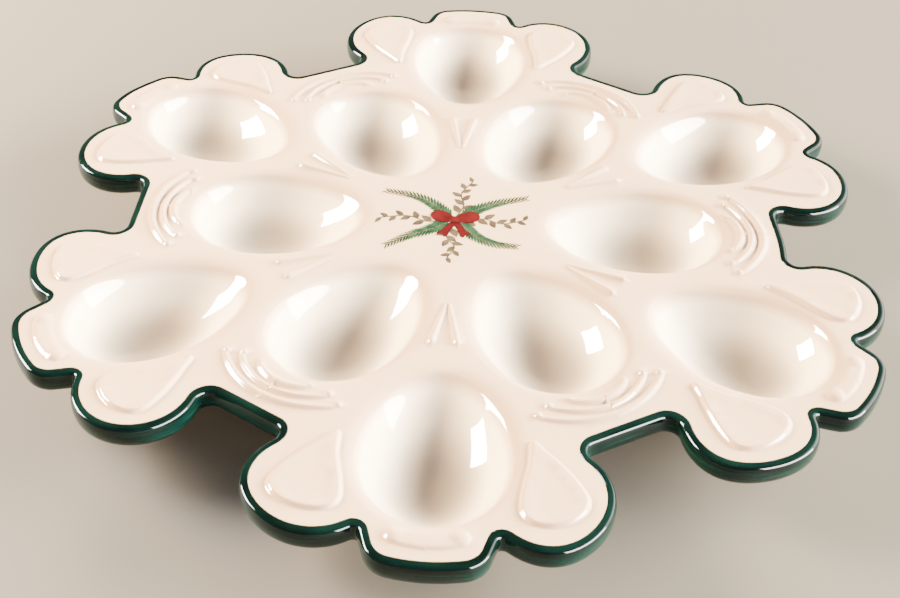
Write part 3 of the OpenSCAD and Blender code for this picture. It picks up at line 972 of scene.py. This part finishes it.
KNOT = ((1.8, 0), (1.2, 1.3), (0, 1.6), (-1.2, 1.3), (-1.8, 0), (-1.2, -1.3), (0, -1.6), (1.2, -1.3))
STEM_W = 0.6
INK_H, INK_STEP = 0.04, 0.03


def stem_mesh(name, stems):
    verts, edges = [], []
    for marks in stems:
        line = round_line(marks, 10, closed=False)
        edges += [(len(verts) + i, len(verts) + i + 1) for i in range(len(line) - 1)]
        verts += [(x, y, 0) for x, y in line]
    return mesh_of(name, verts, edges=edges)


def prism(work, line, low, high):
    n, base = len(line), len(work.verts)
    work.verts += [(x, y, low) for x, y in line] + [(x, y, high) for x, y in line]
    work.faces += [tuple(base + i for i in range(n)), tuple(base + n + i for i in range(n))]
    work.faces += [(base + i, base + (i + 1) % n, base + n + (i + 1) % n, base + n + i) for i in range(n)]


def ink_source(name, line):
    one = Patchwork()
    prism(one, line, 0, INK_H)
    return add_object(name, mesh_of(name, one.verts, one.faces))


def level(height):
    return (0, 0, (deck_h + height) * MM)


def print_leaves(name, stems, shape, height, material, count, spread, tip_share):
    leaf = ink_source(name + "_shape", shape)
    made = grow(name, stem_mesh(name, stems), leaf_tree(), {
        "Leaf": leaf, "Leaves": count, "Spread": math.radians(spread), "Tip share": tip_share,
        "Level": level(height), "Material": material})
    bpy.data.objects.remove(leaf)
    face_outward(made)
    return made


def shapes_piece(name, lines, low, material):
    work = Patchwork()
    for i, line in enumerate(lines):
        base = deck_h + low + INK_STEP * i
        prism(work, line, base, base + INK_H)
    mesh = mesh_of(name, work.verts, work.faces)
    mesh.materials.append(material)
    made = add_object(name, mesh)
    face_outward(made)
    return made


def bow_lines(grow_by):
    """Tails, loops and knot in the order they are printed, each made larger or smaller all round."""
    out = []
    for marks, twice in ((BOW_TAIL, True), (BOW_LOOP, True), (KNOT, False)):
        line = round_line(marks, 5)
        following = np.roll(line, -1, axis=0)
        area = np.sum(line[:, 0] * following[:, 1] - following[:, 0] * line[:, 1])
        line = beside(line, -math.copysign(grow_by, area))
        out += [line] + ([line * [-1, 1]] if twice else [])
    return out


prints = [
    print_leaves("print_needles", FIR_STEMS, NEEDLE, 0.03, INK_GREEN,
                 count=40, spread=40, tip_share=0.5),
    print_leaves("print_leaflets", FERN_STEMS, LEAFLET, 0.02, INK_TAUPE,
                 count=10, spread=46, tip_share=0.62),
    grow("print_stems", stem_mesh("print_stems", FIR_STEMS + FERN_STEMS), stem_tree(),
         {"Width": STEM_W * MM, "Level": level(0.04), "Material": INK_TAUPE}),
    shapes_piece("print_bow_edge", bow_lines(0.4), 0.06, INK_WINE),
    shapes_piece("print_bow", bow_lines(-0.1), 0.08, INK_RED),
]
face_outward(prints[2])

# %% [markdown]
# ## Made by hand
# The mould was modelled by hand, so no two lobes are quite alike. A few soft pushes of up to three
# millimetres move the finished meshes in plan: a fuller scallop here, a flatter one there. Where
# two of them overlap, they add up to three and a half.

# %% Pushes
# Each push is a place and a move in plan, in the frame of the whole platter
PUSHES = ((-34, 146, -0.5, 2.2), (30, 147, 0, 1.6), (100, 110, -0.8, -1.6), (79, 100, 2.0, -0.6),
          (-97, 110, 0.8, -1.8), (-127, 88, 2.6, -1.2), (-134, 55, 1.8, 0.4), (-146, 36, 1.6, 0),
          (146, 36, -1.0, 0), (-146, -36, 3.0, 0), (-140, -52, 1.4, 0.6), (117, -6, 1.8, 0),
          (-53, -128, -2.4, 0), (-45, -112, -1.0, 0.6), (34, -147, 0.6, -2.2), (128, -88, 0.8, 0.4),
          (54, 128, -1.2, 0), (113, -103, 2.6, -0.4), (85, -110, -0.8, -2.2), (147, -36, -0.3, 0))
PUSH_R = 11.0


def push(objects):
    for obj in objects:
        co = np.empty(len(obj.data.vertices) * 3)
        obj.data.vertices.foreach_get("co", co)
        co = co.reshape(-1, 3)
        moved = np.zeros_like(co[:, :2])
        for x, y, dx, dy in PUSHES:
            d2 = (co[:, 0] / MM - x) ** 2 + (co[:, 1] / MM - y) ** 2
            moved += np.exp(-d2 / (2 * PUSH_R ** 2))[:, None] * [dx, dy]
        co[:, :2] += moved * MM
        obj.data.vertices.foreach_set("co", co.ravel())
        obj.data.update()
        print(f"{obj.name}: moved up to {np.hypot(*moved.T).max():.1f} mm")


push([body, rim])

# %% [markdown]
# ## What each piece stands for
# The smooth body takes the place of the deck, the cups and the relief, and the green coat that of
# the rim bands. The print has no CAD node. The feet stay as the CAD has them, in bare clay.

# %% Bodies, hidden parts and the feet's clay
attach(body, "root")
panels_and_cups = [f"{n}_{i}" for n in ("lobe_panel", "outer_cup", "inner_cup") for i in range(1, 7)]
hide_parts("centre_panel", *panels_and_cups,
            "leaf_relief", "scroll_relief", "crescent_relief", "chevron_relief")
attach(rim, "root")
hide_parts(*[f"rim_band_{i}" for i in range(1, 7)])
for piece in prints:
    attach(piece, "root")
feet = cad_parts["foot_pads"]
feet.data.materials[0] = CLAY

# %% [markdown]
# ## Camera, floor and light
# The camera stands where the photograph's did, which a fit to the outline gave: about 40 degrees
# above the table and half a metre away. Its three axes and its place are that fit's.

# %% Camera
camera = add_object("camera", bpy.data.cameras.new("camera"))
camera.data.sensor_width, camera.data.lens = 36, 54.14
right, up = (0.998253, 0.055328, 0.020750), (-0.051556, 0.643887, 0.763383)
back = (0.028876, -0.763119, 0.645614)
stand = (13.9, -393.7, 295.4 + deck_h)
axes = [[right[i], up[i], back[i], stand[i] * MM] for i in range(3)]
camera.matrix_world = Matrix(axes + [[0, 0, 0, 1]])
bpy.context.scene.camera = camera

# %% [markdown]
# The tones and the reflections were fitted apart. So a light either shows in the glaze or lights the
# surfaces, and the softbox and the window are each made twice. A light is given by its azimuth,
# elevation and distance in metres, its size, its radiance and its colour.

# %% Floor and lights
FLOOR_HALF = 3000
corners = [(-FLOOR_HALF, -FLOOR_HALF, 0), (FLOOR_HALF, -FLOOR_HALF, 0),
           (FLOOR_HALF, FLOOR_HALF, 0), (-FLOOR_HALF, FLOOR_HALF, 0)]
floor = add_object("floor", mesh_of("floor", corners, [(0, 1, 2, 3)]))
floor_mat, _, floor_shader = new_material("pale floor")
floor_shader.inputs["Base Color"].default_value = (0.096, 0.091, 0.081, 1)
floor_shader.inputs["Roughness"].default_value = 0.8
floor.data.materials.append(floor_mat)

world = bpy.data.worlds.new("soft room")
world.use_nodes = True
background = world.node_tree.nodes["Background"]
background.inputs["Color"].default_value = (0.88, 0.95, 1, 1)
background.inputs["Strength"].default_value = 0.4
bpy.context.scene.world = world


def away(azimuth, elevation, distance):
    """A place in that direction from the platter's middle, in metres."""
    a, e = math.radians(azimuth), math.radians(elevation)
    level_out = distance * math.cos(e)
    return level_out * math.cos(a), level_out * math.sin(a), distance * math.sin(e)


def fade(light):
    """Dims a light towards its borders, so that its mirror image has no edge."""
    light.use_nodes = True
    nodes, links = light.node_tree.nodes, light.node_tree.links
    corner, middle = nodes.new("ShaderNodeNewGeometry"), nodes.new("ShaderNodeVectorMath")
    middle.operation, middle.inputs[1].default_value = "DISTANCE", (0.5, 0.5, 0)
    dim = nodes.new("ShaderNodeMapRange")
    dim.interpolation_type = "SMOOTHSTEP"
    dim.inputs["From Min"].default_value, dim.inputs["From Max"].default_value = 0.5, 0.1
    links.new(corner.outputs["Parametric"], middle.inputs[0])
    links.new(middle.outputs["Value"], dim.inputs["Value"])
    links.new(dim.outputs[0], nodes["Emission"].inputs["Strength"])


def softbox(name, place, size, radiance, colour, mirrored, faded=False):
    """A rectangular light that either shows in the glaze or lights things, so each is set by itself."""
    light = bpy.data.lights.new(name, "AREA")
    light.shape = "RECTANGLE"
    light.size, light.size_y = size
    light.energy = radiance * math.pi * size[0] * size[1]
    light.color = colour
    obj = add_object(name, light)
    obj.location = place
    obj.rotation_euler = (-Vector(place)).to_track_quat("-Z", "Y").to_euler()
    obj.visible_glossy, obj.visible_diffuse = mirrored, not mirrored
    if faded:
        fade(light)


softbox("right softbox, seen", away(-27, 16, 2.0), (2.4, 1.0), 120, (1, 0.94, 0.88), mirrored=True)
softbox("left window, seen", away(168, 29, 1.8), (0.78, 0.72), 300, (1, 0.96, 0.92), mirrored=True)
softbox("right card, seen", away(15, 20, 1.6), (3.6, 2.4), 16, (1, 0.95, 0.88), mirrored=True, faded=True)
softbox("right softbox", away(12, 16, 2.6), (2.2, 1.3), 205, (1, 0.85, 0.6), mirrored=False)
softbox("left window", away(162, 25, 1.0), (0.5, 0.36), 250, (1, 0.70, 0.36), mirrored=False)
softbox("front card", away(-95, 12, 2.2), (2.0, 0.8), 9, (1, 0.74, 0.49), mirrored=False)
